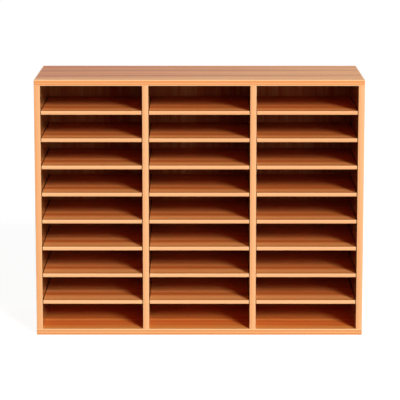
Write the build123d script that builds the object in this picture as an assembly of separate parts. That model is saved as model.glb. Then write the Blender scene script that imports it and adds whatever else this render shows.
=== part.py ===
from build123d import *
import os

# A free-standing literature organizer of wood-grain board: three columns of nine open compartments.
# Loose shelves lie on pins, and bolts, capped cam locks and dowels hold the cabinet together.
# Sizes are in millimetres. +X is to the right, the front faces -Y and +Z is up.
# The origin is the middle of the underside.

# Cabinet
COLUMN_NAMES = ("left", "centre", "right")
UPRIGHT_NAMES = ("left_side", "left_divider", "right_divider", "right_side")
COLUMN_OPENING = 234.0
CABINET_DEPTH = 298.0
BOARD_THICKNESS = 14.3
BAND_THICKNESS = 3.0
BAND_ROUNDING = 1.2
BAND_END_EASE = 0.5

# Shelves
SHELVES_IN_COLUMN = 8
SHELF_THICKNESS = 8.5
SHELF_PITCH = 63.5
TOP_OPENING = 58.3
BOTTOM_OPENING = 59.2
SHELF_END_GAP = 1.6
SHELF_SETBACK = 3.0
SHELF_REAR_GAP = 1.0
SHELF_BAND_THICKNESS = 1.0
SHELF_BAND_ROUNDING = 0.8

# Back panel, held in grooves, and the screws through it into the dividers
BACK_THICKNESS = 3.2
BACK_INSET = 10.0
BACK_TONGUE = 5.5
GROOVE_SPARE = 0.5
GROOVE_CLEARANCE = 0.15
SCREWS_IN_DIVIDER = 3
SCREW_END_DISTANCE = 88.0
SCREW_DIAMETER = 3.0
SCREW_BITE = 13.0
SCREW_TIP = 3.0
SCREW_HEAD_DIAMETER = 6.4
SCREW_HEAD_HEIGHT = 2.0
SCREW_HEAD_ROUNDING = 1.2
SCREW_SLOT_LENGTH = 3.6
SCREW_SLOT_WIDTH = 0.9
SCREW_SLOT_DEPTH = 1.1
PILOT_SPARE = 1.0

# Shelf pins
PIN_DIAMETER = 5.0
PIN_COLLAR_DIAMETER = 7.5
PIN_COLLAR_THICKNESS = 1.0
PIN_REACH = 8.0
PIN_WEB = 1.7
PIN_HOLE_SPARE = 0.2
PIN_SETBACK = 37.0
PIN_CHAMFER = 0.5
PIN_SEAT_CLEARANCE = 0.3

# Bolts, cam locks and the flush caps that cover the locks
LOCK_SETBACK = 50.0
LOCK_REACH = 24.0
BOLT_THREAD_DIAMETER = 6.0
BOLT_THREAD_LENGTH = 9.0
BOLT_HOLE_SPARE = 0.5
BOLT_SHANK_DIAMETER = 5.4
BOLT_HEAD_DIAMETER = 7.0
BOLT_HEAD_LENGTH = 4.0
BOLT_HEAD_CHAMFER = 0.8
BOLT_PASSAGE_DIAMETER = 8.0
CAM_DIAMETER = 14.8
CAM_RECESS = 1.2
CAM_FLOOR = 2.3
CAM_CAVITY_CLEARANCE = 0.3
CAM_SLOT_LENGTH = 9.0
CAM_SLOT_WIDTH = 1.8
CAM_SLOT_DEPTH = 1.4
CAP_CHAMFER = 0.3
CAP_STEM_CLEARANCE = 0.1

# Dowels
DOWEL_DIAMETER = 8.0
DOWEL_LENGTH = 30.0
DOWEL_IN_BOARD = 8.5
DOWEL_SPACING = 32.0
DOWEL_CHAMFER = 1.0
DOWEL_HOLE_SPARE = 0.5

# Shared by all the fits and cuts
FIT_CLEARANCE = 0.05
CUT_OVERRUN = 1.0
ROUNDING_LIMIT_SHARE = 0.9

COLUMN_STEP = COLUMN_OPENING + BOARD_THICKNESS
WIDTH = len(COLUMN_NAMES) * COLUMN_STEP + BOARD_THICKNESS
SHELF_STACK = (SHELVES_IN_COLUMN - 1) * SHELF_PITCH + SHELF_THICKNESS
HEIGHT = SHELF_STACK + TOP_OPENING + BOTTOM_OPENING + 2 * BOARD_THICKNESS
LEFT = -WIDTH / 2
RIGHT = WIDTH / 2
FRONT = -CABINET_DEPTH / 2
REAR = CABINET_DEPTH / 2
CORE_FRONT = FRONT + BAND_THICKNESS
BACK_REAR = REAR - BACK_INSET
BACK_FRONT = BACK_REAR - BACK_THICKNESS
UPRIGHT_BOTTOM = BOARD_THICKNESS
UPRIGHT_TOP = HEIGHT - BOARD_THICKNESS
SHELF_FRONT = FRONT + SHELF_SETBACK
SHELF_REAR = BACK_FRONT - SHELF_REAR_GAP
GROOVE_DEPTH = BACK_TONGUE + GROOVE_SPARE
PIN_STEM = (BOARD_THICKNESS - PIN_WEB) / 2 - PIN_HOLE_SPARE
CAM_HOLE_DEPTH = BOARD_THICKNESS - CAM_FLOOR
PIN_PLACES = (FRONT + PIN_SETBACK, BACK_FRONT - PIN_SETBACK)
LOCK_PLACES = (FRONT + LOCK_SETBACK, BACK_FRONT - LOCK_SETBACK)
DOWEL_PLACES = (LOCK_PLACES[0] + DOWEL_SPACING, LOCK_PLACES[1] - DOWEL_SPACING)
END_JOINTS = ((UPRIGHT_TOP, 1), (UPRIGHT_BOTTOM, -1))


def block(low, high):
    """A box between two opposite corners."""
    size = [end - start for start, end in zip(low, high)]
    return Pos(*low) * Box(*size, align=Align.MIN)


def rod(start, direction, radius, length):
    """A cylinder from a start point along a direction."""
    end_aligned = (Align.CENTER, Align.CENTER, Align.MIN)
    return Plane(origin=start, z_dir=direction) * Cylinder(radius, length, align=end_aligned)


def rounding(radius, wall):
    """A rounding that its wall leaves room for."""
    return min(radius, wall * ROUNDING_LIMIT_SHARE)


def upright_left(upright):
    """The left face of an upright, counted from the left."""
    return LEFT + upright * COLUMN_STEP


def upright_middle(upright):
    """The middle of an upright's thickness, where its bolts and dowels stand."""
    return upright_left(upright) + BOARD_THICKNESS / 2


def column_walls(column):
    """The two walls of a column: the face of each, and the way into its board."""
    wall = upright_left(column) + BOARD_THICKNESS
    return ((wall, -1), (wall + COLUMN_OPENING, 1))


def upright_walls(upright):
    """The faces of an upright that stand in a column, and the way into the board from each."""
    walls = []
    if upright < len(COLUMN_NAMES):
        walls.append(column_walls(upright)[0])
    if upright > 0:
        walls.append(column_walls(upright - 1)[1])
    return walls


def shelf_underside(row):
    """The underside of a shelf, with rows counted from the top."""
    return UPRIGHT_TOP - TOP_OPENING - SHELF_THICKNESS - row * SHELF_PITCH


def pin_height(row):
    """The axis of the pins that carry a row of shelves."""
    return shelf_underside(row) - PIN_SEAT_CLEARANCE - PIN_DIAMETER / 2


def pin_holes(upright):
    """The blind holes for the shelf pins of an upright."""
    radius = PIN_DIAMETER / 2 + FIT_CLEARANCE
    depth = PIN_STEM + PIN_HOLE_SPARE
    holes = []
    for wall, inward in upright_walls(upright):
        for place in PIN_PLACES:
            for row in range(SHELVES_IN_COLUMN):
                holes.append(rod((wall, place, pin_height(row)), (inward, 0, 0), radius, depth))
    return holes


def lock_wall(upright):
    """The wall of an upright that its cam locks are set into, and the way into the board."""
    return upright_walls(upright)[0 if upright < len(UPRIGHT_NAMES) / 2 else -1]


def lock_holes(upright):
    """The holes for the bolts, cam locks and dowels of an upright."""
    middle = upright_middle(upright)
    wall, inward = lock_wall(upright)
    cam_radius = CAM_DIAMETER / 2 + FIT_CLEARANCE
    dowel_radius = DOWEL_DIAMETER / 2 + FIT_CLEARANCE
    dowel_depth = DOWEL_LENGTH - DOWEL_IN_BOARD + DOWEL_HOLE_SPARE
    holes = []
    for end, up in END_JOINTS:
        for place in LOCK_PLACES:
            cam_axis = end - up * LOCK_REACH
            holes.append(rod((wall, place, cam_axis), (inward, 0, 0), cam_radius, CAM_HOLE_DEPTH))
            passage = rod((middle, place, end), (0, 0, -up), BOLT_PASSAGE_DIAMETER / 2, LOCK_REACH)
            holes.append(passage)
        for place in DOWEL_PLACES:
            holes.append(rod((middle, place, end), (0, 0, -up), dowel_radius, dowel_depth))
    return holes


def screw_heights():
    """The heights of the screws in each divider, from the lowest to the highest."""
    lowest = UPRIGHT_BOTTOM + SCREW_END_DISTANCE
    highest = UPRIGHT_TOP - SCREW_END_DISTANCE
    step = (highest - lowest) / (SCREWS_IN_DIVIDER - 1)
    return [lowest + index * step for index in range(SCREWS_IN_DIVIDER)]


def screw_holes(middle, start, depth):
    """The holes for a divider's screws, from a plane at the rear toward the front."""
    radius = SCREW_DIAMETER / 2 + FIT_CLEARANCE
    return [rod((middle, start, height), (0, -1, 0), radius, depth) for height in screw_heights()]


def back_groove(low, high):
    """A groove that takes the back panel's edge, between two corners without their depths."""
    front = BACK_FRONT - GROOVE_CLEARANCE
    rear = BACK_REAR + GROOVE_CLEARANCE
    return block((low[0], front, low[1]), (high[0], rear, high[1]))


def side_board(upright):
    """A side of the cabinet, grooved for the back panel on its inner face."""
    left = upright_left(upright)
    core = block((left, CORE_FRONT, UPRIGHT_BOTTOM), (left + BOARD_THICKNESS, REAR, UPRIGHT_TOP))
    wall, inward = lock_wall(upright)
    start, end = sorted((wall - inward * CUT_OVERRUN, wall + inward * GROOVE_DEPTH))
    bottom = UPRIGHT_BOTTOM - CUT_OVERRUN
    groove = back_groove((start, bottom), (end, UPRIGHT_TOP + CUT_OVERRUN))
    return core - [groove, *pin_holes(upright), *lock_holes(upright)]


def divider_board(upright):
    """A divider between two columns, which ends at the back panel."""
    left = upright_left(upright)
    right = left + BOARD_THICKNESS
    core = block((left, CORE_FRONT, UPRIGHT_BOTTOM), (right, BACK_FRONT, UPRIGHT_TOP))
    pilots = screw_holes(upright_middle(upright), BACK_FRONT, SCREW_BITE + PILOT_SPARE)
    return core - [*pilots, *pin_holes(upright), *lock_holes(upright)]


def level_board(low, high, inner, up):
    """The top or bottom board, drilled and grooved on its inner face."""
    core = block((LEFT + BAND_THICKNESS, CORE_FRONT, low), (RIGHT - BAND_THICKNESS, REAR, high))
    start, end = sorted((inner - up * CUT_OVERRUN, inner + up * GROOVE_DEPTH))
    cuts = [back_groove((LEFT, start), (RIGHT, end))]
    bolt_radius = BOLT_THREAD_DIAMETER / 2 + FIT_CLEARANCE
    bolt_depth = BOLT_THREAD_LENGTH + BOLT_HOLE_SPARE
    dowel_radius = DOWEL_DIAMETER / 2 + FIT_CLEARANCE
    dowel_depth = DOWEL_IN_BOARD + DOWEL_HOLE_SPARE
    for upright in range(len(UPRIGHT_NAMES)):
        middle = upright_middle(upright)
        for place in LOCK_PLACES:
            cuts.append(rod((middle, place, inner), (0, 0, up), bolt_radius, bolt_depth))
        for place in DOWEL_PLACES:
            cuts.append(rod((middle, place, inner), (0, 0, up), dowel_radius, dowel_depth))
    return core - cuts


def back_panel():
    """The back panel, with clearance holes for the screws into the dividers."""
    reach = RIGHT - BOARD_THICKNESS + BACK_TONGUE
    bottom = UPRIGHT_BOTTOM - BACK_TONGUE
    panel = block((-reach, BACK_FRONT, bottom), (reach, BACK_REAR, UPRIGHT_TOP + BACK_TONGUE))
    holes = []
    for upright in range(1, len(UPRIGHT_NAMES) - 1):
        start = BACK_REAR + CUT_OVERRUN
        holes += screw_holes(upright_middle(upright), start, BACK_THICKNESS + 2 * CUT_OVERRUN)
    return panel - holes


def level_bands(low, high):
    """The bands of the top or bottom board: one on each end, and a rounder one along the front."""
    radius = rounding(BAND_ROUNDING, BAND_THICKNESS)
    front = block((LEFT, FRONT, low), (RIGHT, CORE_FRONT, high))
    front = fillet(front.edges().filter_by(Axis.Y), radius + BAND_END_EASE)
    bands = [fillet(front.edges().group_by(Axis.Y)[0], radius)]
    for outer, inner, side in ((LEFT, LEFT + BAND_THICKNESS, 0), (RIGHT, RIGHT - BAND_THICKNESS, -1)):
        start, end = sorted((outer, inner))
        band = block((start, CORE_FRONT, low), (end, REAR, high))
        outer_edges = band.edges().group_by(Axis.X)[side]
        bands.append(fillet(outer_edges.sort_by(Axis.Y)[1:], radius))
    return bands


def upright_band(upright):
    """The edge band on the front of an upright."""
    left = upright_left(upright)
    right = left + BOARD_THICKNESS
    band = block((left, FRONT, UPRIGHT_BOTTOM), (right, CORE_FRONT, UPRIGHT_TOP))
    front_edges = band.edges().group_by(Axis.Y)[0].filter_by(Axis.Z)
    return fillet(front_edges, rounding(BAND_ROUNDING, BAND_THICKNESS))


def shelf(column, row):
    """A loose shelf: its board, and the edge band along its front."""
    left, right = [wall - inward * SHELF_END_GAP for wall, inward in column_walls(column)]
    low = shelf_underside(row)
    high = low + SHELF_THICKNESS
    joint = SHELF_FRONT + SHELF_BAND_THICKNESS
    core = block((left, joint, low), (right, SHELF_REAR, high))
    band = block((left, SHELF_FRONT, low), (right, joint, high))
    front_edges = band.edges().group_by(Axis.Y)[0].filter_by(Axis.X)
    radius = rounding(SHELF_BAND_ROUNDING, SHELF_BAND_THICKNESS)
    return [core, fillet(front_edges, radius)]


def shelf_pin():
    """A shelf pin that points along +X, with the wall's face at the origin."""
    stem = rod((0, 0, 0), (-1, 0, 0), PIN_DIAMETER / 2, PIN_STEM)
    collar = rod((0, 0, 0), (1, 0, 0), PIN_COLLAR_DIAMETER / 2, PIN_COLLAR_THICKNESS)
    peg = rod((0, 0, 0), (1, 0, 0), PIN_DIAMETER / 2, PIN_REACH)
    pin = stem + collar + peg
    ends = pin.edges().filter_by(GeomType.CIRCLE).group_by(Axis.X)
    return chamfer(ends[0] + ends[-1], PIN_CHAMFER)


def column_pins(column):
    """The pins that carry all the shelves of a column."""
    pin = shelf_pin()
    pins = []
    for wall, inward in column_walls(column):
        facing = Rot(0, 0, 0 if inward < 0 else 180)
        for place in PIN_PLACES:
            for row in range(SHELVES_IN_COLUMN):
                pins.append(Pos(wall, place, pin_height(row)) * facing * pin)
    return pins


def cross_slot(length, width, depth):
    """A cross for a screwdriver, cut down from the XY plane."""
    below = (Align.CENTER, Align.CENTER, Align.MAX)
    return Box(length, width, depth, align=below) + Box(width, length, depth, align=below)


def bolt():
    """A bolt that screws up into a board from the origin and hangs its head below it."""
    thread = rod((0, 0, 0), (0, 0, 1), BOLT_THREAD_DIAMETER / 2, BOLT_THREAD_LENGTH)
    shank = rod((0, 0, 0), (0, 0, -1), BOLT_SHANK_DIAMETER / 2, LOCK_REACH)
    head_top = BOLT_HEAD_LENGTH / 2 - LOCK_REACH
    head = rod((0, 0, head_top), (0, 0, -1), BOLT_HEAD_DIAMETER / 2, BOLT_HEAD_LENGTH)
    whole = thread + shank + head
    lowest = whole.edges().filter_by(GeomType.CIRCLE).group_by(Axis.Z)[0]
    return chamfer(lowest, BOLT_HEAD_CHAMFER)


def cam_lock():
    """A cam lock about the bolt head at the origin, with its face toward +X and the bolt above."""
    face = BOARD_THICKNESS / 2 - CAM_RECESS
    thickness = CAM_HOLE_DEPTH - CAM_RECESS
    disc = rod((face, 0, 0), (-1, 0, 0), CAM_DIAMETER / 2, thickness)
    cavity_radius = BOLT_HEAD_DIAMETER / 2 + CAM_CAVITY_CLEARANCE
    cavity_floor = -BOLT_HEAD_LENGTH / 2 - CAM_CAVITY_CLEARANCE
    cavity = rod((0, 0, cavity_floor), (0, 0, 1), cavity_radius, CAM_DIAMETER)
    slot = cross_slot(CAM_SLOT_LENGTH, CAM_SLOT_WIDTH, CAM_SLOT_DEPTH)
    return disc - cavity - Plane(origin=(face, 0, 0), z_dir=(1, 0, 0)) * slot


def cam_cap():
    """A cap that fills a lock's hole up to the wall, with its stem in the lock's cross."""
    face = BOARD_THICKNESS / 2
    disc = rod((face, 0, 0), (-1, 0, 0), CAM_DIAMETER / 2, CAM_RECESS)
    rim = disc.edges().filter_by(GeomType.CIRCLE).group_by(Axis.X)[-1]
    stem_radius = CAM_SLOT_WIDTH / 2 - CAP_STEM_CLEARANCE
    stem_length = CAM_SLOT_DEPTH - CAP_STEM_CLEARANCE
    stem = rod((face - CAM_RECESS, 0, 0), (-1, 0, 0), stem_radius, stem_length)
    return chamfer(rim, rounding(CAP_CHAMFER, CAM_RECESS)) + stem


def dowel():
    """A dowel that stands across the joint at the origin, with its short end up in the board."""
    start = DOWEL_IN_BOARD - DOWEL_LENGTH
    pin = rod((0, 0, start), (0, 0, 1), DOWEL_DIAMETER / 2, DOWEL_LENGTH)
    return chamfer(pin.edges().filter_by(GeomType.CIRCLE), DOWEL_CHAMFER)


def back_screw():
    """A screw whose head sits behind the origin, toward +Y, and whose shank points forward."""
    radius = SCREW_DIAMETER / 2
    straight = BACK_THICKNESS + SCREW_BITE - SCREW_TIP
    shank = rod((0, 0, 0), (0, -1, 0), radius, straight)
    tip_plane = Plane(origin=(0, -straight, 0), z_dir=(0, -1, 0))
    tip = tip_plane * Cone(radius, 0, SCREW_TIP, align=(Align.CENTER, Align.CENTER, Align.MIN))
    head = rod((0, 0, 0), (0, 1, 0), SCREW_HEAD_DIAMETER / 2, SCREW_HEAD_HEIGHT)
    crown = head.edges().filter_by(GeomType.CIRCLE).group_by(Axis.Y)[-1]
    head = fillet(crown, rounding(SCREW_HEAD_ROUNDING, SCREW_HEAD_HEIGHT))
    slot = cross_slot(SCREW_SLOT_LENGTH, SCREW_SLOT_WIDTH, SCREW_SLOT_DEPTH)
    slot_plane = Plane(origin=(0, SCREW_HEAD_HEIGHT, 0), z_dir=(0, 1, 0))
    return shank + tip + (head - slot_plane * slot)


def end_fasteners(fastener, places, reach):
    """A fastener at each place on both ends of every upright, moved in from the joint by a reach."""
    placed = []
    for upright in range(len(UPRIGHT_NAMES)):
        facing = 0 if lock_wall(upright)[1] < 0 else 180
        for end, up in END_JOINTS:
            turn = Rot(0 if up > 0 else 180, 0, 0)
            for place in places:
                spot = Pos(upright_middle(upright), place, end - up * reach)
                placed.append(spot * Rot(0, 0, facing) * turn * fastener)
    return placed


def back_screws():
    """The screws through the back panel into both dividers."""
    screw = back_screw()
    screws = []
    for upright in range(1, len(UPRIGHT_NAMES) - 1):
        for height in screw_heights():
            screws.append(Pos(upright_middle(upright), BACK_REAR, height) * screw)
    return screws


def save(name, pieces):
    """Write the solids of one node to its own file."""
    solids = [solid for piece in pieces for solid in piece.solids()]
    export_step(Compound(children=solids), os.path.join("parts", name + ".step"))


def main():
    os.makedirs("parts", exist_ok=True)
    save("top_board", [level_board(UPRIGHT_TOP, HEIGHT, UPRIGHT_TOP, 1)])
    save("bottom_board", [level_board(0, UPRIGHT_BOTTOM, UPRIGHT_BOTTOM, -1)])
    save("top_edge_bands", level_bands(UPRIGHT_TOP, HEIGHT))
    save("bottom_edge_bands", level_bands(0, UPRIGHT_BOTTOM))
    for upright, name in enumerate(UPRIGHT_NAMES):
        outermost = upright in (0, len(UPRIGHT_NAMES) - 1)
        board = side_board(upright) if outermost else divider_board(upright)
        save(name + "_board", [board])
        save(name + "_edge_band", [upright_band(upright)])
    save("back_panel", [back_panel()])
    save("back_screws", back_screws())
    save("bolts", end_fasteners(bolt(), LOCK_PLACES, 0))
    save("cam_locks", end_fasteners(cam_lock(), LOCK_PLACES, LOCK_REACH))
    save("cam_caps", end_fasteners(cam_cap(), LOCK_PLACES, LOCK_REACH))
    save("dowels", end_fasteners(dowel(), DOWEL_PLACES, 0))
    for column, name in enumerate(COLUMN_NAMES):
        save(name + "_shelf_pins", column_pins(column))
        for row in range(SHELVES_IN_COLUMN):
            save(f"{name}_shelf_{row + 1}", shelf(column, row))


main()
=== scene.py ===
import math
import random
from typing import NamedTuple

import bpy
from bpy.props import FloatProperty, FloatVectorProperty, PointerProperty
from mathutils import Color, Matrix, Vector


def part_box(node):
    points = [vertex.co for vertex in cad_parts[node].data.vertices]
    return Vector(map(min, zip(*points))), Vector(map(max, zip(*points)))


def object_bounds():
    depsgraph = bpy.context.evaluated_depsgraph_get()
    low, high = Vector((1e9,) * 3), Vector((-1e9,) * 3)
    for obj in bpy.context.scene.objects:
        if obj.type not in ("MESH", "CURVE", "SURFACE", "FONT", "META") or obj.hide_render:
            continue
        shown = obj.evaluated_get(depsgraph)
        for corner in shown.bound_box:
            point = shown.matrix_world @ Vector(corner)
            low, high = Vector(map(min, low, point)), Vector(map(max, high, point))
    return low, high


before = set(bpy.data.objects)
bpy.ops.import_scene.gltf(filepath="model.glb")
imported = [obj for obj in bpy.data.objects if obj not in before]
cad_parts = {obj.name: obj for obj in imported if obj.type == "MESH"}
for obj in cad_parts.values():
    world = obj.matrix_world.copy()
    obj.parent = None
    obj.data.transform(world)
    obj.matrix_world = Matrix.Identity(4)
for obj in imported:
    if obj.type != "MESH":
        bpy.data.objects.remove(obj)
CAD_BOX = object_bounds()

# The finish of a literature organizer: printed wood grain on its boards, pale bands on their front edges,
# raw chipboard where a board is only sawn, raw hardboard behind, and bare metal fittings.
# Lengths are in metres. +X is to the right, the front faces -Y and +Z is up.

bl_info = {
    "name": "Literature Organizer Finish",
    "version": (1, 0, 0),
    "blender": (4, 5, 0),
    "location": "3D View > Sidebar > Organizer",
    "description": "Finishes a literature organizer in wood grain and sets it on a white studio floor",
    "category": "Object",
}

X, Y, Z = range(3)
COLUMNS = ("left", "centre", "right")
UPRIGHTS = ("left_side", "left_divider", "right_divider", "right_side")
SHELVES_IN_COLUMN = 8
FRONT = CAD_BOX[0].y
OUTSIDE = CAD_BOX[1].x

# A face is square to an axis when its normal has at least this share along it.
FLAT_SHARE = 0.99
# Two places closer than this count as one.
TOUCH = 0.0002


class Streak(NamedTuple):
    """A streak: where it lies across the grain, half its width and how much paler it is. Most streaks are
    print, and some are painted light.
    """

    place: float
    half_width: float
    paler: float


class Pattern(NamedTuple):
    """A print: its tone from 0, dark, to 1, pale, how strongly its grain shows, and its main streaks, some
    of which are painted light.
    """

    tone: float = 0.5
    strength: float = 1.0
    streaks: tuple = ()


class Cut(NamedTuple):
    """How a piece is cut from its print: how far along the grain, how far across it on its faces and on its
    bands, how much paler it is than the rest, and how much paler it grows with each metre along it. The
    change of tone along the top board and along the shelves, and the shelves' change from row to row, are
    painted light and shade."""

    shift: float
    lane: float = 0.0
    band_lane: float = 0.0
    tone: float = 0.0
    drift: float = 0.0


class Layer(NamedTuple):
    """A layer of the grain: how often it changes in a metre of its length, its detail and its weight."""

    changes: float
    detail: float
    weight: float


class Sheen(NamedTuple):
    """The gloss of a finish: its roughness, how much its texture adds to it and how strongly it mirrors."""

    roughness: float
    texture: float
    mirror: float = 0.5


# How strongly the grain of a band shows beside that of a board.
BAND_STRENGTH = 0.35
# A board's streaks are placed from its front, and a band's from its middle.
# On the top board, the wide pale streak along the front is painted light. The other streaks are print.
TOP_PRINT_AND_PAINTED_LIGHT = Pattern(streaks=(
    Streak(0.020, 0.050, 0.70), Streak(0.088, 0.020, -0.60), Streak(0.140, 0.024, 0.15),
    Streak(0.198, 0.026, -0.55), Streak(0.262, 0.040, -0.20)))
# On the bottom board, the wide pale streak at 0.150 is painted light that carries the lit floor of the
# bottom compartments further back. The other streaks are print.
BOTTOM_PRINT_AND_PAINTED_LIGHT = Pattern(streaks=(
    Streak(0.008, 0.030, 1.20), Streak(0.050, 0.018, -0.35), Streak(0.076, 0.014, -0.45),
    Streak(0.097, 0.014, 0.60), Streak(0.117, 0.014, -0.40), Streak(0.150, 0.040, 1.00)))
SHELF_PATTERN = Pattern(streaks=(
    Streak(0.032, 0.034, 0.48), Streak(0.075, 0.028, -0.75), Streak(0.106, 0.026, -0.05)))
UPRIGHT_PATTERN = Pattern()
BACK_PATTERN = Pattern(strength=1.6)
# On the top and bottom bands, the pale streak at 0.0062, along the upper arris, is a painted highlight. The
# other streaks are print.
TOP_BAND_PRINT_AND_PAINTED_HIGHLIGHT = Pattern(0.05, BAND_STRENGTH, (
    Streak(0.0062, 0.0034, 1.10), Streak(-0.0010, 0.0022, 0.45), Streak(-0.0068, 0.0028, 1.15)))
BOTTOM_BAND_PRINT_AND_PAINTED_HIGHLIGHT = Pattern(0.0, BAND_STRENGTH, (
    Streak(0.0062, 0.0034, 1.10), Streak(-0.0006, 0.0030, 0.60), Streak(-0.0062, 0.0026, 0.40)))
UPRIGHT_BAND_PATTERN = Pattern(0.57, BAND_STRENGTH, (
    Streak(-0.0036, 0.0030, -0.25), Streak(0.0040, 0.0030, 0.20)))
SHELF_BAND_PATTERN = Pattern(0.73, BAND_STRENGTH, (
    Streak(0.0032, 0.0045, 0.18), Streak(-0.0028, 0.0045, -0.14)))

# No two pieces that lie side by side are cut from the same place of a print.
# The top board grows paler towards the right, by its drift: painted light.
TOP_CUT_AND_PAINTED_LIGHT = Cut(0.0, -FRONT, tone=0.10, drift=0.85)
BOTTOM_CUT = Cut(1.7, -FRONT)
BACK_CUT = Cut(0.9)
UPRIGHT_SHIFT_STEP = 2.3
UPRIGHT_LANE_STEP = 0.31
UPRIGHT_BAND_SHIFT_STEP = 1.9
TOP_BAND_SHIFT = 0.0
BOTTOM_BAND_SHIFT = 2.9
SHELF_SHIFT_SEED = 8
SHELF_SHIFT_REACH = 0.6
# Each shelf lower down is printed a step paler than the one above: painted light, set row by row.
SHELF_PAINTED_LIGHT_STEP = 0.03
# The shelves grow darker towards the right, by their drift: painted shade.
SHELF_PAINTED_SHADE_DRIFT = -0.2

GRAIN_LAYERS = {
    "broad": Layer(0.7, 1.0, 1.1),
    "narrow": Layer(1.8, 2.0, 0.9),
    "fine": Layer(5.0, 2.0, 0.5),
    "pore": Layer(16.0, 1.0, 0.0),
}
# How often the line of a streak bends in a metre along the grain and in a metre across it.
BENDS_ALONG = 1.3
BENDS_ACROSS = 4.0
# A pore shows where its layer passes the first value, and has its full share of colour from the second on.
PORE_START = 0.10
PORE_FULL = 0.22
PORE_SHARE = 0.35
# An arris gets a painted highlight where its surface turns sideways by the first share. From the second on,
# it takes on the third share of the pale colour.
PAINTED_HIGHLIGHT_START_SHARE = 0.2
PAINTED_HIGHLIGHT_FULL_SHARE = 0.7
PAINTED_HIGHLIGHT_SHARE = 0.9
# The walls of the compartments are lacquered, and mirror what is in front of them.
LACQUER_WEIGHT = 1.0
LACQUER_ROUGHNESS = 0.08

# The top board and the back panel mirror a little less than the other boards.
SHEENS = {
    "board": Sheen(0.42, -0.12, 0.16),
    "top_board": Sheen(0.42, -0.12, 0.12),
    "back_panel": Sheen(0.42, -0.12, 0.10),
    "band": Sheen(0.42, 0.15, 0.30),
    "chipboard": Sheen(0.85, 0.20),
    "hardboard": Sheen(0.80, 0.20),
    "bronze": Sheen(0.35, 0.25),
    "steel": Sheen(0.30, 0.25),
    "zinc": Sheen(0.45, 0.25),
    "dowel": Sheen(0.70, 0.20),
}
# How dark and how light the shades of a finish are, as shares of its colour.
HARDBOARD_SHARES = (0.6, 1.0, 1.3)
METAL_SHARES = (0.7, 1.0)
BEECH_SHARES = (0.75, 1.0)
# How far each texture moves the tone of its finish.
CHIP_DUST_TONE = 1.2
HARDBOARD_FIBRE_TONE = 1.6
HARDBOARD_CLOUD_TONE = 0.4
METAL_CLOUD_TONE = 2.0
BEECH_LINE_TONE = 1.5
# How high fine lines stand beside the depth of full pores, and the mesh of a press beside its fibres.
FINE_LINE_HEIGHT_SHARE = 0.4
MESH_HEIGHT_SHARE = 0.15
# How deep a finish is embossed, as a share of a printed board's relief or, in chipboard, of a chip's size.
BAND_RELIEF_SHARE = 0.5
HARDBOARD_RELIEF_SHARE = 2.0
METAL_RELIEF_SHARE = 0.25
CHIP_RELIEF_SHARE = 0.125


def linear(red, green, blue):
    """A colour as a screen shows it, from 0 to 255, in the linear light that shaders work in."""
    return tuple(Color((red / 255, green / 255, blue / 255)).from_srgb_to_scene_linear())


def colour(name, description, red, green, blue):
    """A colour that a user can change."""
    return FloatVectorProperty(
        name=name, description=description, default=linear(red, green, blue),
        subtype="COLOR", size=3, min=0, max=1)


def length(name, description, default):
    """A length that a user can change, in metres."""
    return FloatProperty(name=name, description=description, default=default, unit="LENGTH", precision=4)


def angle(name, description, degrees):
    """An angle that a user can change."""
    return FloatProperty(
        name=name, description=description, default=math.radians(degrees), subtype="ANGLE")


def level(name, description, default):
    """A strength that a user can change."""
    return FloatProperty(name=name, description=description, default=default, min=0, subtype="FACTOR")


class OrganizerColours(bpy.types.PropertyGroup):
    """The colours of every finish."""

    face_dark: colour("Face, dark", "Dark streaks of the printed boards", 205, 112, 49)
    face_middle: colour("Face, middle", "Ground of the printed boards", 229, 144, 78)
    face_light: colour("Face, light", "Pale streaks of the printed boards", 251, 175, 103)
    # The bottom board's own paler, more saturated tones are partly print and partly painted light.
    base_dark: colour("Bottom, dark", "Dark streaks of the bottom board", 232, 116, 44)
    base_middle: colour("Bottom, middle", "Ground of the bottom board", 243, 144, 68)
    base_light: colour("Bottom, light", "Pale streaks of the bottom board", 251, 165, 82)
    # The walls of the compartments are printed darker and browner than the outer faces of the same boards:
    # painted shade.
    inside_dark: colour("Inside, dark", "Dark streaks of the walls of the compartments", 159, 94, 41)
    inside_middle: colour("Inside, middle", "Ground of the walls of the compartments", 177, 122, 65)
    inside_light: colour("Inside, light", "Pale streaks of the walls of the compartments", 192, 141, 79)
    back_dark: colour("Back, dark", "Dark streaks of the back panel", 168, 73, 27)
    back_middle: colour("Back, middle", "Ground of the back panel", 192, 106, 51)
    back_light: colour("Back, light", "Pale streaks of the back panel", 206, 137, 79)
    pore: colour("Pores", "Fine dark dashes along the printed grain", 150, 66, 28)
    band_dark: colour("Band, dark", "Orange streaks of the edge bands", 227, 141, 74)
    band_middle: colour("Band, middle", "Ground of the edge bands", 239, 171, 115)
    # The pale colour of the bands also paints the highlight on their arrises.
    band_light: colour("Band, light", "Pale streaks and rubbed arrises of the edge bands", 247, 193, 138)
    chip_dark: colour("Chip, dark", "Dark chips in the sawn edges", 122, 80, 44)
    chip_light: colour("Chip, light", "Pale chips in the sawn edges", 200, 158, 106)
    hardboard: colour("Hardboard", "Rear of the back panel", 150, 106, 68)
    bronze: colour("Bronze", "Bronzed shelf pins", 128, 94, 64)
    steel: colour("Steel", "Plated bolts and screws", 200, 200, 203)
    zinc: colour("Zinc", "Cast cam locks", 168, 168, 172)
    dowel: colour("Dowel", "Turned dowels", 214, 176, 124)


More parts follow.
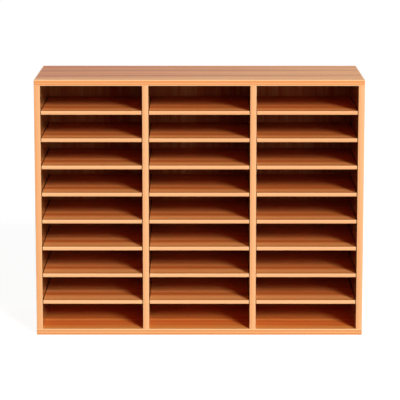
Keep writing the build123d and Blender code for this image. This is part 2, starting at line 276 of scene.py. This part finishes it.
class OrganizerGrain(bpy.types.PropertyGroup):
    """The sizes of the printed grain and of the raw boards' texture."""

    broad: length("Broad streaks", "Distance between the broad streaks", 0.060)
    narrow: length("Narrow streaks", "Distance between the narrow streaks", 0.015)
    fine: length("Fine lines", "Distance between the fine lines", 0.0030)
    pore: length("Pores", "Distance between the rows of pores", 0.0009)
    wander: length("Wander", "How far a board's streak strays from a straight line", 0.010)
    band_wander: length("Band wander", "How far a band's streak strays from a straight line", 0.0012)
    relief: length("Relief", "Depth of the embossed grain", 0.0001)
    chip: length("Chips", "Size of the chips in a sawn edge", 0.0022)
    shelf_band: length("Shelf band", "Thickness of the band on a shelf's front", 0.0010)
    cabinet_band: length("Cabinet band", "Thickness of the bands on the cabinet's boards", 0.0030)


class OrganizerStudio(bpy.types.PropertyGroup):
    """The camera, the lamps and the floor."""

    camera_side: length("Camera side", "Camera to the right of the middle", 0.00715)
    camera_distance: length("Camera distance", "Camera in front of the middle", 5.0017)
    camera_height: length("Camera height", "Camera above the floor", 1.16014)
    camera_drop: angle("Camera drop", "How far the camera looks down", 9.8243)
    camera_turn: angle("Camera turn", "How far the camera turns to the left", 0.0657)
    lens: FloatProperty(
        name="Lens", description="Focal length of the lens", default=191.758, subtype="DISTANCE_CAMERA")
    sensor: FloatProperty(
        name="Sensor", description="Width of the picture behind the lens", default=36.0,
        subtype="DISTANCE_CAMERA")
    lamp_distance: length("Lamp distance", "Front and rear lamps from the middle of the front", 20.0)
    lamp_width: length("Lamp width", "Width of the front and rear lamps", 4.8)
    lamp_height: length("Lamp height", "Height of the front and rear lamps", 5.6)
    front_turn: angle("Front lamp turn", "Front lamp to the right of straight ahead", 24.0)
    front_rise: angle("Front lamp rise", "Front lamp above the horizon", 22.7)
    front_level: level("Front lamp level", "Light of the front lamp on a surface that faces it", 1.16)
    fill_turn: angle("Fill lamp turn", "Fill lamp to the right of straight ahead", 20.0)
    fill_rise: angle("Fill lamp rise", "Fill lamp above the horizon", 5.7)
    fill_distance: length("Fill lamp distance", "Fill lamp from the middle of the front", 6.0)
    fill_width: length("Fill lamp width", "Width of the fill lamp", 2.2)
    fill_height: length("Fill lamp height", "Height of the fill lamp, which hangs just above the floor", 1.7)
    fill_level: level("Fill lamp level", "Light of the fill lamp on a surface that faces it", 0.045)
    rear_turn: angle("Rear lamp turn", "Rear lamps to the right and left of straight ahead", 125.0)
    rear_rise: angle("Rear lamp rise", "Rear lamps above the horizon", 12.0)
    rear_level: level("Rear lamp level", "Light of a rear lamp on a surface that faces it", 0.28)
    sky_level: level("Sky level", "Light of the white surroundings", 0.03)
    floor_reach: length("Floor reach", "Half the width of the floor", 60.0)
    floor_grey: level("Floor grey", "How much light the floor throws back at the object", 0.24)
    floor_shadow: level("Floor shadow", "How strongly the object's shadow shows on the floor", 0.25)
    floor_white: level("Floor white", "How white the floor shows in its shadows", 0.92)


class Nodes:
    """A node tree, with short words for the nodes that it is built from."""

    def __init__(self, owner):
        owner.use_nodes = True
        self.tree = owner.node_tree
        self.tree.nodes.clear()

    def add(self, kind, inputs=None, **settings):
        """A new node, with its settings and inputs."""
        node = self.tree.nodes.new(kind)
        for key, value in settings.items():
            setattr(node, key, value)
        for key, value in (inputs or {}).items():
            self.feed(node.inputs[key], value)
        return node

    def feed(self, socket, value):
        """Link another socket into this one, or set its value."""
        if isinstance(value, bpy.types.NodeSocket):
            self.tree.links.new(value, socket)
        else:
            socket.default_value = value

    def math(self, operation, *values):
        """A sum of sockets or numbers."""
        return self.add("ShaderNodeMath", dict(enumerate(values)), operation=operation).outputs[0]

    def spread(self, value, low, high, to_low=0.0, to_high=1.0):
        """A value moved smoothly from one range to another, and held inside it."""
        inputs = {"Value": value, "From Min": low, "From Max": high, "To Min": to_low, "To Max": to_high}
        return self.add("ShaderNodeMapRange", inputs, interpolation_type="SMOOTHSTEP").outputs["Result"]

    def ramp(self, value, *colours):
        """Colours that follow each other evenly as a value goes from 0 to 1."""
        node = self.add("ShaderNodeValToRGB", {"Fac": value})
        elements = node.color_ramp.elements
        while len(elements) < len(colours):
            elements.new(1.0)
        for index, shade in enumerate(colours):
            elements[index].position = index / (len(colours) - 1)
            elements[index].color = (*shade, 1.0)
        return node.outputs["Color"]

    def blend(self, amount, first, second):
        """A blend of a colour socket with one more colour."""
        node = self.add("ShaderNodeMix", data_type="RGBA")
        sockets = {socket.name: socket for socket in node.inputs if socket.enabled}
        self.feed(sockets["Factor"], amount)
        self.feed(sockets["A"], first)
        self.feed(sockets["B"], (*second, 1.0))
        return next(socket for socket in node.outputs if socket.enabled)

    def noise(self, vector, scale=1.0, detail=2.0, roughness=0.5):
        """A soft random field about 0."""
        inputs = {"Vector": vector, "Scale": scale, "Detail": detail, "Roughness": roughness}
        return self.math("SUBTRACT", self.add("ShaderNodeTexNoise", inputs).outputs["Fac"], 0.5)

    def middling(self, field, weight):
        """A tone about the middle of a ramp, moved by a field about 0."""
        return self.math("MULTIPLY_ADD", field, weight, 0.5)

    def vector(self, *values):
        """A vector of sockets or numbers."""
        return self.add("ShaderNodeCombineXYZ", dict(enumerate(values))).outputs[0]

    def place(self):
        """The place of a point on the object."""
        return self.add("ShaderNodeTexCoord").outputs["Object"]

    def axes(self, vector):
        """The three numbers of a vector."""
        return self.add("ShaderNodeSeparateXYZ", {0: vector}).outputs

    def own(self, name):
        """A number that each object carries for itself."""
        node = self.add("ShaderNodeAttribute", attribute_name=name, attribute_type="OBJECT")
        return node.outputs["Fac"]

    def surface(self, ground, texture, sheen, height, relief, more=None):
        """End a material in one shader, with its colour, its gloss and an embossed surface."""
        bump = self.add("ShaderNodeBump", {"Height": height, "Strength": 1.0, "Distance": relief})
        shader = self.add("ShaderNodeBsdfPrincipled", {
            "Base Color": ground,
            "Roughness": self.math("MULTIPLY_ADD", texture, sheen.texture, sheen.roughness),
            "Specular IOR Level": sheen.mirror,
            "Normal": bump.outputs["Normal"],
            **(more or {})})
        self.add("ShaderNodeOutputMaterial", {"Surface": shader.outputs["BSDF"]})

    def seen_or_not(self, seen, unseen):
        """A shader for rays that show a surface, also mirrored or through glass, and one for the rest."""
        path = self.add("ShaderNodeLightPath").outputs
        mirrored = self.math("MAXIMUM", path["Is Glossy Ray"], path["Is Transmission Ray"])
        either = self.math("MAXIMUM", path["Is Camera Ray"], mirrored)
        return self.add("ShaderNodeMixShader", {0: either, 1: unseen, 2: seen}).outputs[0]


def new_material(name):
    """An empty material and its nodes."""
    material = bpy.data.materials.new(name)
    return material, Nodes(material)


def dimmed(shade, share):
    """A colour made darker or lighter."""
    return tuple(min(1.0, part * share) for part in shade)


def shades(shade, shares):
    """Several darker and lighter shades of a colour."""
    return [dimmed(shade, share) for share in shares]


def tones(context, part):
    """The dark, middle and light tones of one part's print. The tones of the compartments' walls are painted
    shade, and those of the bottom board are partly painted light.
    """
    colours = context.scene.organizer_colours
    return [getattr(colours, f"{part}_{tone}") for tone in ("dark", "middle", "light")]


def streak_tone(nodes, lane, streaks):
    """How much paler the main streaks make a point of the print."""
    tone = 0.0
    for streak in streaks:
        distance = nodes.math("ABSOLUTE", nodes.math("SUBTRACT", lane, streak.place))
        tone = nodes.math("ADD", tone, nodes.spread(distance, 0.0, streak.half_width, streak.paler, 0.0))
    return tone


def grain_fields(nodes, grain, along, across, start, wander):
    """The layers of a grain along one axis, and how far across it a point lies on its wandering line."""
    axes = nodes.axes(nodes.place())
    line = nodes.math("ADD", axes[along], nodes.own("grain_shift"))
    straight = nodes.math("ADD", axes[across], start)
    bend = nodes.noise(nodes.vector(
        nodes.math("MULTIPLY", line, BENDS_ALONG), nodes.math("MULTIPLY", straight, BENDS_ACROSS)))
    lane = nodes.math("MULTIPLY_ADD", bend, wander, straight)
    fields = {"lane": lane, "along": axes[along]}
    for name, layer in GRAIN_LAYERS.items():
        spacing = getattr(grain, name)
        vector = nodes.vector(
            nodes.math("MULTIPLY", line, layer.changes), nodes.math("DIVIDE", lane, spacing), spacing)
        fields[name] = nodes.noise(vector, detail=layer.detail)
    return fields


def grain_tone(nodes, fields, pattern):
    """The tone of a print, from 0, dark, to 1, pale. A piece's tone, drift and streaks can carry painted
    light and shade.
    """
    tone = nodes.math("ADD", streak_tone(nodes, fields["lane"], pattern.streaks), nodes.own("grain_tone"))
    tone = nodes.math("MULTIPLY_ADD", fields["along"], nodes.own("grain_drift"), tone)
    tone = nodes.math("ADD", tone, pattern.tone)
    for name, layer in GRAIN_LAYERS.items():
        if layer.weight:
            tone = nodes.math("MULTIPLY_ADD", fields[name], layer.weight * pattern.strength, tone)
    return tone


def printed_grain(context, name, along, across, part, pattern, sheen="board", lacquer=0.0):
    """Wood grain printed on paper and sealed under a satin melamine coat, carrying the painted light and
    shade of its part's tones and pattern.
    """
    colours, grain = context.scene.organizer_colours, context.scene.organizer_grain
    material, nodes = new_material(name)
    fields = grain_fields(nodes, grain, along, across, nodes.own("grain_lane"), grain.wander)
    dark, middle_tone, light = tones(context, part)
    ground = nodes.ramp(grain_tone(nodes, fields, pattern), dark, middle_tone, light)
    pores = nodes.spread(fields["pore"], PORE_START, PORE_FULL, 0.0, PORE_SHARE)
    # Pores take the tone of the part's print, so they carry its painted light and shade too.
    ground = nodes.blend(pores, ground, dimmed(colours.pore, middle_tone[0] / colours.face_middle[0]))
    depth = nodes.math("MULTIPLY", pores, -1.0)
    height = nodes.math("MULTIPLY_ADD", fields["fine"], FINE_LINE_HEIGHT_SHARE, depth)
    nodes.surface(ground, fields["narrow"], SHEENS[sheen], height, grain.relief, {
        "Coat Weight": lacquer, "Coat Roughness": LACQUER_ROUGHNESS})
    return material


def edge_band(context, name, along, across, pattern):
    """A plastic edge band with printed streaks, and a painted highlight in its pale colour along its
    arrises.
    """
    colours, grain = context.scene.organizer_colours, context.scene.organizer_grain
    material, nodes = new_material(name)
    fields = grain_fields(nodes, grain, along, across, nodes.own("grain_band_lane"), grain.band_wander)
    ground = nodes.ramp(grain_tone(nodes, fields, pattern), *tones(context, "band"))
    normal = nodes.axes(nodes.add("ShaderNodeNewGeometry").outputs["Normal"])
    sideways = nodes.math("ABSOLUTE", normal[across])
    # Painted highlight: the arrises grow paler as they turn sideways.
    painted_highlight = nodes.spread(sideways, PAINTED_HIGHLIGHT_START_SHARE, PAINTED_HIGHLIGHT_FULL_SHARE, 0.0, PAINTED_HIGHLIGHT_SHARE)
    ground = nodes.blend(painted_highlight, ground, colours.band_light)
    fine = fields["fine"]
    nodes.surface(ground, fine, SHEENS["band"], fine, grain.relief * BAND_RELIEF_SHARE)
    return material


def sawn_chipboard(context):
    """The raw core of a board where it is only sawn or drilled."""
    colours, grain = context.scene.organizer_colours, context.scene.organizer_grain
    material, nodes = new_material("Sawn chipboard")
    place = nodes.place()
    cells = nodes.add("ShaderNodeTexVoronoi", {"Vector": place, "Scale": 1 / grain.chip})
    chip = nodes.add("ShaderNodeSeparateColor", {0: cells.outputs["Color"]}).outputs[0]
    dust = nodes.noise(place, 1 / grain.chip, detail=3.0, roughness=0.6)
    tone = nodes.math("MULTIPLY_ADD", dust, CHIP_DUST_TONE, chip)
    ground = nodes.ramp(tone, colours.chip_dark, colours.chip_light)
    nodes.surface(ground, dust, SHEENS["chipboard"], dust, grain.chip * CHIP_RELIEF_SHARE)
    return material


def raw_hardboard(context):
    """The unprinted rear of the back panel: pressed fibre with the faint mesh of its press."""
    colours, grain = context.scene.organizer_colours, context.scene.organizer_grain
    material, nodes = new_material("Raw hardboard")
    place = nodes.place()
    axes = nodes.axes(place)
    fibres = nodes.noise(place, 1 / grain.chip, detail=5.0, roughness=0.65)
    cloud = nodes.noise(place, 1 / grain.broad)
    tone = nodes.middling(fibres, HARDBOARD_FIBRE_TONE)
    tone = nodes.math("MULTIPLY_ADD", cloud, HARDBOARD_CLOUD_TONE, tone)
    ground = nodes.ramp(tone, *shades(colours.hardboard, HARDBOARD_SHARES))
    turns = 2 * math.pi / grain.chip
    waves = [nodes.math("SINE", nodes.math("MULTIPLY", axes[axis], turns)) for axis in (X, Z)]
    height = nodes.math("MULTIPLY_ADD", nodes.math("ADD", *waves), MESH_HEIGHT_SHARE, fibres)
    nodes.surface(ground, fibres, SHEENS["hardboard"], height, grain.relief * HARDBOARD_RELIEF_SHARE)
    return material


def bare_metal(context, name, kind):
    """Plated or cast metal, clouded and scratched by handling."""
    colours, grain = context.scene.organizer_colours, context.scene.organizer_grain
    material, nodes = new_material(name)
    place = nodes.place()
    scratches = nodes.noise(place, 1 / grain.pore, detail=4.0, roughness=0.7)
    cloud = nodes.noise(place, 1 / grain.chip)
    tone = nodes.middling(cloud, METAL_CLOUD_TONE)
    ground = nodes.ramp(tone, *shades(getattr(colours, kind), METAL_SHARES))
    relief = grain.relief * METAL_RELIEF_SHARE
    nodes.surface(ground, scratches, SHEENS[kind], scratches, relief, {"Metallic": 1.0})
    return material


def turned_beech(context):
    """The pale wood of the dowels."""
    colours, grain = context.scene.organizer_colours, context.scene.organizer_grain
    material, nodes = new_material("Turned beech")
    fine = grain_fields(nodes, grain, Z, X, 0.0, grain.band_wander)["fine"]
    ground = nodes.ramp(nodes.middling(fine, BEECH_LINE_TONE), *shades(colours.dowel, BEECH_SHARES))
    nodes.surface(ground, fine, SHEENS["dowel"], fine, grain.relief)
    return material


def core_of(context):
    """The raw core, which all the boards share."""
    return bpy.data.materials.get("Sawn chipboard") or sawn_chipboard(context)


def dress(node, *finishes):
    """Give each face of a node the first finish whose test it passes. A finish is a material and a test."""
    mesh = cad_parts[node].data
    mesh.materials.clear()
    for material, _ in finishes:
        mesh.materials.append(material)
    for face in mesh.polygons:
        face.material_index = next(i for i, (_, test) in enumerate(finishes) if test(face))


def anywhere(face):
    """A test that every face passes."""
    return True


def outer_side(face):
    """A test for the outer sides of the cabinet."""
    return abs(face.center.x) > OUTSIDE - TOUCH


def facing_front(face):
    """A test for the faces that look straight to the front."""
    return face.normal.y < -FLAT_SHARE


def broad_face(node, thin):
    """A test for the two broad faces of a board, which is thin along one axis."""
    low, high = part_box(node)

    def test(face):
        flat = abs(face.normal[thin]) > FLAT_SHARE
        return flat and min(face.center[thin] - low[thin], high[thin] - face.center[thin]) < TOUCH

    return test


def ahead_of(plane):
    """A test for the faces in front of an upright plane."""
    return lambda face: face.center.y < plane


def carry(node, cut):
    """Note on a node how it is cut from its print."""
    for name, value in cut._asdict().items():
        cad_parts[node][f"grain_{name}"] = value


def middle(node):
    """The middle of a node's box."""
    low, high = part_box(node)
    return (low + high) / 2


class ORGANIZER_OT_level_boards(bpy.types.Operator):
    """Finish the top and bottom boards, with grain from side to side"""

    bl_idname = "organizer.level_boards"
    bl_label = "Top and Bottom Boards"

    def execute(self, context):
        for node, part, pattern, sheen, cut in (
                ("top_board", "face", TOP_PRINT_AND_PAINTED_LIGHT, "top_board", TOP_CUT_AND_PAINTED_LIGHT),
                ("bottom_board", "base", BOTTOM_PRINT_AND_PAINTED_LIGHT, "board", BOTTOM_CUT)):
            printed = printed_grain(context, f"Printed grain, {node}", X, Y, part, pattern, sheen)
            dress(node, (printed, broad_face(node, Z)), (core_of(context), anywhere))
            carry(node, cut)
        return {"FINISHED"}


class ORGANIZER_OT_uprights(bpy.types.Operator):
    """Finish the sides and dividers, with upright grain"""

    bl_idname = "organizer.uprights"
    bl_label = "Sides and Dividers"

    def execute(self, context):
        outer = printed_grain(context, "Printed grain, outside", Z, Y, "face", UPRIGHT_PATTERN)
        # The inner faces of the sides and dividers take the darker print, which is painted shade.
        inner_with_painted_shade = printed_grain(
            context, "Printed grain, inside", Z, Y, "inside", UPRIGHT_PATTERN, lacquer=LACQUER_WEIGHT)
        for index, name in enumerate(UPRIGHTS):
            node = f"{name}_board"
            dress(node, (outer, outer_side), (inner_with_painted_shade, broad_face(node, X)), (core_of(context), anywhere))
            carry(node, Cut(UPRIGHT_SHIFT_STEP * index, UPRIGHT_LANE_STEP * index - FRONT))
        return {"FINISHED"}


class ORGANIZER_OT_back_panel(bpy.types.Operator):
    """Finish the back panel, printed in front and raw behind"""

    bl_idname = "organizer.back_panel"
    bl_label = "Back Panel"

    def execute(self, context):
        printed = printed_grain(
            context, "Printed grain, back panel", Z, X, "back", BACK_PATTERN, "back_panel")
        dress("back_panel", (printed, facing_front), (raw_hardboard(context), anywhere))
        carry("back_panel", BACK_CUT)
        return {"FINISHED"}


class ORGANIZER_OT_shelves(bpy.types.Operator):
    """Finish the loose shelves: printed faces, a pale front band and sawn ends"""

    bl_idname = "organizer.shelves"
    bl_label = "Shelves"

    def execute(self, context):
        printed = printed_grain(context, "Printed grain, shelves", X, Y, "face", SHELF_PATTERN)
        band = edge_band(context, "Edge band, shelves", X, Z, SHELF_BAND_PATTERN)
        chance = random.Random(SHELF_SHIFT_SEED)
        for column in COLUMNS:
            for row in range(SHELVES_IN_COLUMN):
                node = f"{column}_shelf_{row + 1}"
                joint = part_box(node)[0].y + context.scene.organizer_grain.shelf_band
                dress(
                    node, (band, ahead_of(joint + TOUCH)), (printed, broad_face(node, Z)),
                    (core_of(context), anywhere))
                # Each shelf's tone and drift carry its painted light and shade.
                carry(node, Cut(
                    shift=chance.uniform(0.0, SHELF_SHIFT_REACH), lane=-FRONT, band_lane=-middle(node).z,
                    tone=SHELF_PAINTED_LIGHT_STEP * (row - SHELVES_IN_COLUMN / 2), drift=SHELF_PAINTED_SHADE_DRIFT))
        return {"FINISHED"}


class ORGANIZER_OT_edge_bands(bpy.types.Operator):
    """Finish the pale bands on the front and end edges of the cabinet's boards"""

    bl_idname = "organizer.edge_bands"
    bl_label = "Edge Bands"

    def execute(self, context):
        upright = edge_band(context, "Edge band, uprights", Z, X, UPRIGHT_BAND_PATTERN)
        for index, name in enumerate(UPRIGHTS):
            node = f"{name}_edge_band"
            dress(node, (upright, anywhere))
            carry(node, Cut(UPRIGHT_BAND_SHIFT_STEP * index, band_lane=-middle(node).x))
        joint = FRONT + context.scene.organizer_grain.cabinet_band
        for node, pattern, shift in (
                ("top_edge_bands", TOP_BAND_PRINT_AND_PAINTED_HIGHLIGHT, TOP_BAND_SHIFT),
                ("bottom_edge_bands", BOTTOM_BAND_PRINT_AND_PAINTED_HIGHLIGHT, BOTTOM_BAND_SHIFT)):
            front = edge_band(context, f"{node}, front", X, Z, pattern)
            end = edge_band(context, f"{node}, ends", Y, Z, pattern)
            dress(node, (front, ahead_of(joint - TOUCH)), (end, anywhere))
            carry(node, Cut(shift, band_lane=-middle(node).z))
        return {"FINISHED"}


class ORGANIZER_OT_shelf_pins(bpy.types.Operator):
    """Finish the bronzed pins that the shelves lie on"""

    bl_idname = "organizer.shelf_pins"
    bl_label = "Shelf Pins"

    def execute(self, context):
        bronzed = bare_metal(context, "Bronzed steel", "bronze")
        for column in COLUMNS:
            dress(f"{column}_shelf_pins", (bronzed, anywhere))
        return {"FINISHED"}


class ORGANIZER_OT_fasteners(bpy.types.Operator):
    """Finish the bolts, screws, cam locks with their caps, and dowels that hold the cabinet together"""

    bl_idname = "organizer.fasteners"
    bl_label = "Fasteners"

    def execute(self, context):
        plated = bare_metal(context, "Plated steel", "steel")
        for node, material in (
                ("bolts", plated),
                ("back_screws", plated),
                ("cam_locks", bare_metal(context, "Cast zinc", "zinc")),
                # The caps take the walls' darker print with its painted shade.
                ("cam_caps", bpy.data.materials["Printed grain, inside"]),
                ("dowels", turned_beech(context))):
            dress(node, (material, anywhere))
        return {"FINISHED"}


class ORGANIZER_OT_stage(bpy.types.Operator):
    """Set up the white floor, the surroundings, the lamps and the camera"""

    bl_idname = "organizer.stage"
    bl_label = "Studio Stage"

    def execute(self, context):
        studio = context.scene.organizer_studio
        context.scene.view_settings.view_transform = "Standard"
        self.floor(context, studio)
        self.surroundings(context, studio)
        soft = (studio.lamp_distance, studio.lamp_width, studio.lamp_height)
        low = (studio.fill_distance, studio.fill_width, studio.fill_height)
        self.lamp(context, "front_lamp", studio.front_turn, studio.front_rise, studio.front_level, *soft)
        self.lamp(context, "fill_lamp", studio.fill_turn, studio.fill_rise, studio.fill_level, *low)
        for name, turn in (("left_rear_lamp", -studio.rear_turn), ("right_rear_lamp", studio.rear_turn)):
            lamp = self.lamp(context, name, turn, studio.rear_rise, studio.rear_level, *soft)
            lamp.visible_glossy = False
        self.camera(context, studio)
        return {"FINISHED"}

    def place(self, context, name, data):
        """A new object of the stage."""
        thing = bpy.data.objects.new(name, data)
        context.scene.collection.objects.link(thing)
        return thing

    def floor(self, context, studio):
        """A wide white floor that keeps a soft shadow."""
        reach = studio.floor_reach
        mesh = bpy.data.meshes.new("studio_floor")
        corners = [(-reach, -reach, 0), (reach, -reach, 0), (reach, reach, 0), (-reach, reach, 0)]
        mesh.from_pydata(corners, [], [range(len(corners))])
        self.place(context, "studio_floor", mesh)
        material, nodes = new_material("Studio floor")
        mesh.materials.append(material)
        grey, catch = [
            nodes.add("ShaderNodeBsdfDiffuse", {"Color": (share, share, share, 1.0)}).outputs[0]
            for share in (studio.floor_grey, studio.floor_shadow)]
        glow = nodes.add("ShaderNodeEmission", {"Strength": studio.floor_white}).outputs[0]
        shown = nodes.add("ShaderNodeAddShader", {0: glow, 1: catch}).outputs[0]
        nodes.add("ShaderNodeOutputMaterial", {"Surface": nodes.seen_or_not(shown, grey)})

    def surroundings(self, context, studio):
        """White surroundings, which show full white and light the object softly."""
        world = bpy.data.worlds.new("Studio surroundings")
        context.scene.world = world
        nodes = Nodes(world)
        white = (1.0, 1.0, 1.0, 1.0)
        shown, soft = [
            nodes.add("ShaderNodeBackground", {"Color": white, "Strength": strength}).outputs[0]
            for strength in (1.0, studio.sky_level)]
        nodes.add("ShaderNodeOutputWorld", {"Surface": nodes.seen_or_not(shown, soft)})

    def lamp(self, context, name, turn, rise, strength, distance, width, height):
        """A soft lamp, turned to the right of straight ahead and raised above the horizon. With a strength
        of 1, a white surface that faces it shows white."""
        way = Vector((math.sin(turn) * math.cos(rise), -math.cos(turn) * math.cos(rise), math.sin(rise)))
        data = bpy.data.lights.new(name, "AREA")
        data.shape = "ELLIPSE"
        data.size = width
        data.size_y = height
        data.energy = strength * (math.pi * distance) ** 2
        lamp = self.place(context, name, data)
        lamp.location = Vector((0, FRONT, CAD_BOX[1].z / 2)) + way * distance
        lamp.rotation_euler = way.to_track_quat("Z", "Y").to_euler()
        lamp.visible_camera = False
        return lamp

    def camera(self, context, studio):
        """The camera, in front and a little above."""
        data = bpy.data.cameras.new("studio_camera")
        data.sensor_width = studio.sensor
        data.lens = studio.lens
        camera = self.place(context, "studio_camera", data)
        camera.location = (studio.camera_side, -studio.camera_distance, studio.camera_height)
        camera.rotation_euler = (math.pi / 2 - studio.camera_drop, 0, studio.camera_turn)
        context.scene.camera = camera


class ORGANIZER_PT_finish(bpy.types.Panel):
    """The organizer's operators, colours and sizes"""

    bl_idname = "ORGANIZER_PT_finish"
    bl_label = "Literature Organizer"
    bl_space_type = "VIEW_3D"
    bl_region_type = "UI"
    bl_category = "Organizer"

    def draw(self, context):
        for operator in OPERATORS:
            self.layout.operator(operator.bl_idname)
        for name, group in GROUPS.items():
            box = self.layout.box()
            for key in group.__annotations__:
                box.prop(getattr(context.scene, name), key)


OPERATORS = (
    ORGANIZER_OT_level_boards,
    ORGANIZER_OT_uprights,
    ORGANIZER_OT_back_panel,
    ORGANIZER_OT_shelves,
    ORGANIZER_OT_edge_bands,
    ORGANIZER_OT_shelf_pins,
    ORGANIZER_OT_fasteners,
    ORGANIZER_OT_stage,
)
GROUPS = {
    "organizer_colours": OrganizerColours,
    "organizer_grain": OrganizerGrain,
    "organizer_studio": OrganizerStudio,
}
CLASSES = (*GROUPS.values(), *OPERATORS, ORGANIZER_PT_finish)


def register():
    """Make the classes known to Blender, and give each scene its settings."""
    for cls in CLASSES:
        bpy.utils.register_class(cls)
    for name, group in GROUPS.items():
        setattr(bpy.types.Scene, name, PointerProperty(type=group))


def unregister():
    """Take the settings and the classes away again."""
    for name in GROUPS:
        delattr(bpy.types.Scene, name)
    for cls in reversed(CLASSES):
        bpy.utils.unregister_class(cls)


def main():
    """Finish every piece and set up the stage."""
    register()
    bpy.ops.organizer.level_boards()
    bpy.ops.organizer.uprights()
    bpy.ops.organizer.back_panel()
    bpy.ops.organizer.shelves()
    bpy.ops.organizer.edge_bands()
    bpy.ops.organizer.shelf_pins()
    bpy.ops.organizer.fasteners()
    bpy.ops.organizer.stage()


if __name__ == "__main__":
    main()
